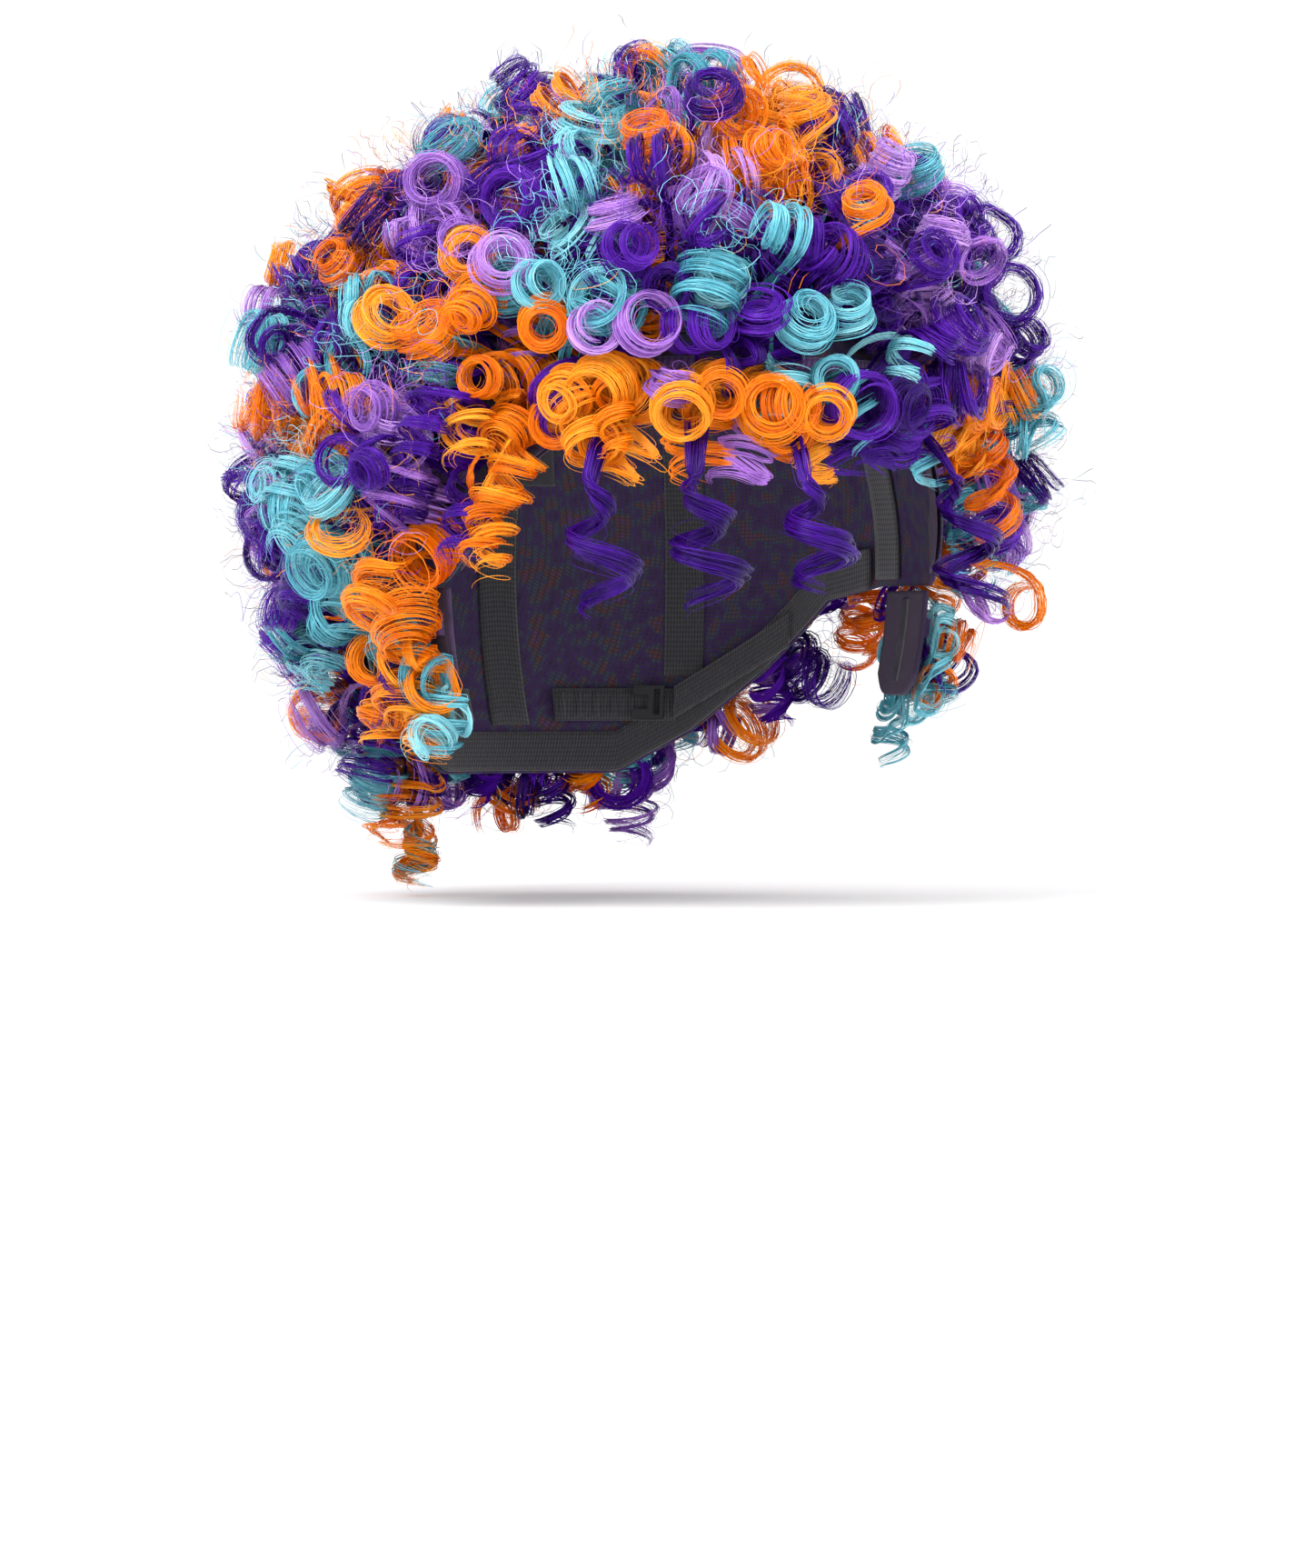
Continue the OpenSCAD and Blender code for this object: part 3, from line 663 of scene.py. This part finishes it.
def woven_material(name, low, high, rate=(1.4, 0.8), rough=0.75, sheen=0.3):
    """Woven or stitched cloth: ribs along and across, from two waves in the cloth's own map."""
    mat, nodes, links, bsdf = material(name)
    sep = nodes.new("ShaderNodeSeparateXYZ")
    links.new(weave_map(nodes, links, rate), sep.inputs[0])
    rib = maths(nodes, links, "ABSOLUTE", maths(nodes, links, "SINE", maths(
        nodes, links, "MULTIPLY", sep.outputs[0], math.pi)))
    cross = maths(nodes, links, "ABSOLUTE", maths(nodes, links, "SINE", maths(
        nodes, links, "MULTIPLY", sep.outputs[1], math.pi)))
    fac = maths(nodes, links, "MULTIPLY", rib, maths(nodes, links, "ADD", maths(
        nodes, links, "MULTIPLY", cross, 0.6), 0.4))
    two_tone(nodes, links, bsdf, fac, low, high, 0.7, 0.0003)
    bsdf.inputs["Roughness"].default_value = rough
    bsdf.inputs["Sheen Weight"].default_value = sheen
    return mat


def noisy_material(name, low, high, scale, rough, metallic=0.0, stretch=(1, 1, 1)):
    """Metal or moulded plastic with a fine grain in its colour and its surface."""
    mat, nodes, links, bsdf = material(name)
    coord = nodes.new("ShaderNodeTexCoord")
    mapping = nodes.new("ShaderNodeMapping")
    mapping.inputs["Scale"].default_value = stretch
    noise = nodes.new("ShaderNodeTexNoise")
    noise.inputs["Scale"].default_value = scale
    links.new(coord.outputs["Object"], mapping.inputs["Vector"])
    links.new(mapping.outputs["Vector"], noise.inputs["Vector"])
    two_tone(nodes, links, bsdf, noise.outputs["Fac"], low, high, 0.2, 0.0001)
    bsdf.inputs["Roughness"].default_value = rough
    bsdf.inputs["Metallic"].default_value = metallic
    return mat


MATERIALS.update({
    "stay_metal": noisy_material("stay_metal", (0.45, 0.45, 0.47), (0.62, 0.62, 0.64), 900, 0.35, 1.0,
                                 (1, 1, 0.08)),
    "hook_plastic": noisy_material("hook_plastic", (0.02, 0.02, 0.022), (0.04, 0.04, 0.043), 1500, 0.55),
    "lace_net": net_material(),
    "velvet_band": woven_material("velvet_band", (0.02, 0.008, 0.035), (0.06, 0.025, 0.09), (3, 3), 0.9,
                                  0.15),
    "elastic_band": woven_material("elastic_band", (0.012, 0.012, 0.015), (0.07, 0.07, 0.08), (1.1, 0.7)),
    "weft_stitch": woven_material("weft_stitch", (0.04, 0.01, 0.09), (0.16, 0.07, 0.25), (0.6, 0.3)),
    "label_satin": woven_material("label_satin", (0.03, 0.03, 0.035), (0.08, 0.075, 0.09), (3, 3), 0.4),
})


def finish_piece(obj, slot, *nodes, body=None):
    obj.data.materials.append(MATERIALS[slot])
    if nodes:
        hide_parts(*nodes)
    if body:
        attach(obj, body)
    return obj


def mid_size(surface):
    """Width and length in metres of a strip, along its middle lines."""
    run = sizes(surface[0])
    across, along = run[run.shape[0] // 2, -1, 1], run[-1, run.shape[1] // 2, 0]
    return sorted([float(across) * MM, float(along) * MM])


def strip(name, surface, layer, slot, node, held="stretched", rests_on=("cap_net",), body="cap"):
    """A sewn strip of cloth, listed in strips with its width and length."""
    obj = finish_piece(cloth(name, shell(surface, *BANDS[layer])), slot, node, body=body)
    strips.append((obj, mid_size(surface), held, rests_on))
    return obj


strips = []
u = np.linspace(0, 360, 241)[:-1]
t = np.linspace(0, 1, 60)
net_surface = form(np.repeat(u[:, None], len(t), 1), edge(u)[:, None] * (1 - t) + 89 * t)
net = finish_piece(cloth("cap_net", shell(net_surface, *BANDS["net"], closed=True)), "lace_net", "crown_net",
                   body="cap")
for name, u0, u1, width, slot, node in (("front_hem", -71, 71, HEM_WIDTH, "velvet_band", "front_band"),
                                        ("nape_hem", 96, 264, NAPE_HEM_WIDTH, "elastic_band", "nape_band")):
    strip(name, grid(u0, u1, edge, lambda u: edge(u) + width / MM_PER_DEGREE), "band", slot, node)


def ribbon(name, az, e0, e1, node):
    """A ribbon that runs up the cap at one azimuth, between two elevations."""
    e = np.linspace(e0, e1, 40)
    half = RIBBON_WIDTH / 2 / (MM_PER_DEGREE * np.maximum(0.2, np.cos(np.radians(e))))
    side = np.linspace(-1, 1, 7)[:, None]
    strip(name, form(az + side * half, np.repeat(e[None], 7, 0)), "ribbon", "elastic_band", node)


ribbon("side_ribbon_right", -91, -2.5, 72, "right_side_ribbon")
ribbon("side_ribbon_left", 91, -2.5, 72, "left_side_ribbon")
ribbon("back_ribbon_right", -140, -17, 62, "right_back_ribbon")
ribbon("back_ribbon_left", 140, -17, 62, "left_back_ribbon")

# The centre ribbon runs over the crown, from the front band to the nape.
t, x = np.meshgrid(np.radians(np.linspace(34, 205, 90)), np.linspace(-1, 1, 7) * RIBBON_WIDTH / 2 / HEAD_A)
k = np.sqrt(1 - x * x)
z = np.sin(t) * k
low_part = np.where(z >= 0, HEAD_C, HEAD_LOW)
centre_surface = (np.stack([HEAD_A * x, -HEAD_B * np.cos(t) * k, low_part * z], -1),
                  unit(np.stack([x / HEAD_A, -np.cos(t) * k / HEAD_B, z / low_part], -1)))
strip("ribbon_over_crown", centre_surface, "ribbon", "elastic_band", "centre_ribbon")

# Weft heads, one above the roots of each row.
WEFT_TALL = WEFT_WIDTH / MM_PER_DEGREE
for row, (low, high, start) in ROWS.items():
    top = 86.5 if row == "curls_12" else high - 1.5
    whole = start == 0
    p, n = grid(0, 360, top - WEFT_TALL, top) if whole else grid(start + 1, 359 - start, top - WEFT_TALL, top)
    line = (p[:-1], n[:-1]) if whole else (p, n)
    finish_piece(cloth("weft_head_" + row[-2:], shell(line, *BANDS["weft"], closed=whole)), "weft_stitch",
                 "weft_" + row[-2:], body="cap")
fringe_line = grid(-FRINGE_END, FRINGE_END, 33, 33 + WEFT_TALL)
finish_piece(cloth("fringe_weft_head", shell(fringe_line, *BANDS["weft"])), "weft_stitch", "fringe_weft",
             body="cap")

TAB_HALF, TAB_TOP, TAB_FOOT = 8, -4.3, -20       # degrees
TAPE_AT, TAPE_HALF, LOOP_STEP = 155, 14, 4       # degrees of azimuth
ADJUSTER_LOW = -22                               # elevation of the hooks and the loop tapes
STRAP_HALF = STRAP_WIDTH / 2 / MM_PER_DEGREE


def ear_tab(side, word):
    """An ear tab, sewn to the cap along its top edge, and its weft head, attached to the tab's body."""
    u0, u1 = sorted((side * (TAB_AT - TAB_HALF), side * (TAB_AT + TAB_HALF)))
    az, el = np.meshgrid(np.linspace(u0, u1, 17), np.linspace(TAB_FOOT, TAB_TOP, 24), indexing="ij")
    corner = np.maximum(0, np.abs(np.linspace(-1, 1, 17))[:, None] - 0.45) ** 2 / 0.3
    el = el + np.linspace(1, 0, 24)[None] ** 3 * 3.2 * corner
    tab = finish_piece(cloth(word + "_tab_cloth", shell(form(az, el), *BANDS["tab"])), "velvet_band",
                       word + "_ear_tab")
    strips.append((tab, mid_size(form(az, el)), "hung", ("cap_net",)))
    top_middle, _ = form(side * TAB_AT, TAB_TOP, 1.0)
    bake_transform(tab)
    line = grid(side * TAB_AT - 7, side * TAB_AT + 7, -11, -11 + WEFT_TALL, step=1)
    finish_piece(cloth(word + "_tab_weft_head", shell(line, *BANDS["tab_weft"])), "weft_stitch",
                 word + "_tab_weft", body=word + "_tab")


def loop_tape(side, word):
    """A flat tape with seven arched thread loops on its inner face."""
    mid = side * TAPE_AT
    tape = shell(grid(mid - TAPE_HALF, mid + TAPE_HALF, ADJUSTER_LOW - STRAP_HALF, ADJUSTER_LOW + STRAP_HALF,
                      rows=6), *BANDS["tape"])
    loops = []
    for i in range(-3, 4):
        p, n = grid(mid + LOOP_STEP * i - 0.6, mid + LOOP_STEP * i + 0.6, ADJUSTER_LOW - 0.75 * STRAP_HALF,
                    ADJUSTER_LOW + 0.75 * STRAP_HALF, step=0.3, rows=13)
        arch = -0.5 - 0.45 * np.sin(np.linspace(0, math.pi, 13))[None]
        loops.append(shell((p, n), np.repeat(arch - 0.25, len(p), 0), np.repeat(arch + 0.1, len(p), 0)))
    finish_piece(cloth(word + "_loops", tape, *loops), "elastic_band", word + "_loop_tape", body="cap")


def adjuster_strap(side, word):
    """An elastic strap, sewn to the cap at its front end, with the hook at its back end."""
    q, v = np.meshgrid(np.linspace(0, 1, 60), np.linspace(-1, 1, 7), indexing="ij")
    surface = form(side * (116 + 25 * q), -10 - 12 * q + v * STRAP_HALF)
    strap = cloth(word + "_elastic", shell(surface, -1.1 - 1.7 * q, -0.5 - 1.7 * q))
    finish_piece(strap, "elastic_band", word + "_strap")
    start, end = surface[0][6, 3] * MM, surface[0][54, 3] * MM
    tuple(map(float, start))
    tuple(map(float, end))
    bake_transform(strap)


for side, word in ((-1, "right"), (1, "left")):
    ear_tab(side, word)
    loop_tape(side, word)
    adjuster_strap(side, word)

# Care label: a blank woven label whose upper edge is sewn in, with a slight curl at its foot.
LABEL_WIDTH, LABEL_HEIGHT, LABEL_TOP, LABEL_FACE = 24, 15, 38, 84.6
x, z = np.meshgrid(np.linspace(-1, 1, 25) * LABEL_WIDTH / 2,
                   np.linspace(LABEL_TOP, LABEL_TOP - LABEL_HEIGHT, 16), indexing="ij")
fall = (LABEL_TOP - z) / LABEL_HEIGHT
y = LABEL_FACE + 0.25 - 0.8 * fall ** 3 - 0.2 * np.sin(x / 4) * fall
surface = (np.stack([x, y, z], -1), np.broadcast_to([0.0, -1.0, 0.0], x.shape + (3,)))
label = finish_piece(cloth("blank_label", shell(surface, -0.2, 0.2)), "label_satin", "care_label",
                     body="label")
strips.append((label, mid_size(surface), "hung", ("cap_net",)))

# The stays and the hooks keep their CAD shapes, with their own materials.
for node, (body, slot) in {"right_tab_stay": ("right_tab", "stay_metal"),
                           "left_tab_stay": ("left_tab", "stay_metal"),
                           "right_hook": ("right_adjuster", "hook_plastic"),
                           "left_hook": ("left_adjuster", "hook_plastic")}.items():
    mesh = frame["nodes"][node].data
    mesh.materials.clear()
    mesh.materials.append(MATERIALS[slot])

# The net's area over the head form, in square metres. The net is cut smaller than the head and stretched over
# it.
net_area = float(np.linalg.norm(np.cross(np.diff(net_surface[0][:, :-1], axis=0),
                                         np.diff(net_surface[0][:-1], axis=1)), axis=-1).sum()) * MM * MM
for obj, (width, length), held, rests_on in strips:
    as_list(rests_on)

# ---- stage ----
def direction(azimuth, elevation):
    """Unit vector from the wig towards an azimuth and an elevation in degrees."""
    a, e = math.radians(azimuth), math.radians(elevation)
    return np.array([math.sin(a) * math.cos(e), -math.cos(a) * math.cos(e), math.sin(e)])


def aimed(name, data, place, back):
    """A light or camera at a place, with its back turned to a direction."""
    obj = bpy.data.objects.new(name, data)
    obj.location = place
    obj.rotation_euler = Vector(back).to_track_quat("Z", "Y").to_euler()
    bpy.context.scene.collection.objects.link(obj)
    return obj


def area_light(name, azimuth, elevation, distance, size, power):
    light = bpy.data.lights.new(name, "AREA")
    light.size = size
    light.energy = power
    back = direction(azimuth, elevation)
    aimed(name, light, back * distance, back)


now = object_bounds()
floor_z = float(now[0][2]) / MM - 1
FLOOR_HALF = 4000
floor = mesh_object("floor", [[-FLOOR_HALF, -FLOOR_HALF, floor_z], [FLOOR_HALF, -FLOOR_HALF, floor_z],
                              [FLOOR_HALF, FLOOR_HALF, floor_z], [-FLOOR_HALF, FLOOR_HALF, floor_z]],
                    [[0, 1, 2, 3]], smooth=False)
floor_material, _, _, floor_bsdf = material("floor")
floor_bsdf.inputs["Base Color"].default_value = (0.97, 0.97, 0.97, 1)
floor_bsdf.inputs["Roughness"].default_value = 0.9
floor.data.materials.append(floor_material)

world = bpy.data.worlds.new("studio")
world.use_nodes = True
world.node_tree.nodes["Background"].inputs["Color"].default_value = (1, 1, 1, 1)
world.node_tree.nodes["Background"].inputs["Strength"].default_value = 1.05
bpy.context.scene.world = world

VIEW_AZIMUTH, VIEW_ELEVATION = -27.0, 1.0      # the photograph's side of the head, level with the hatband
area_light("key", VIEW_AZIMUTH - 30, 45, 1.4, 0.8, 16)
area_light("fill", VIEW_AZIMUTH + 50, 25, 1.6, 1.0, 8)

# ---- camera ----
VIEW_WIDTH = 0.3705      # metres across the picture at the wig
DISTANCE = 1.9
TARGET_RIGHT, TARGET_UP = 0.0024, -0.063
camera = bpy.data.cameras.new("camera")
camera.sensor_fit = "HORIZONTAL"
camera.sensor_width = 36
camera.lens = 36 * DISTANCE / VIEW_WIDTH
camera.clip_end = 50
right = direction(VIEW_AZIMUTH + 90, 0)
back = direction(VIEW_AZIMUTH, VIEW_ELEVATION)
target = right * TARGET_RIGHT + np.array([0, 0, TARGET_UP])
bpy.context.scene.camera = aimed("camera", camera, target + back * DISTANCE, back)
bpy.context.scene.view_settings.view_transform = "Standard"
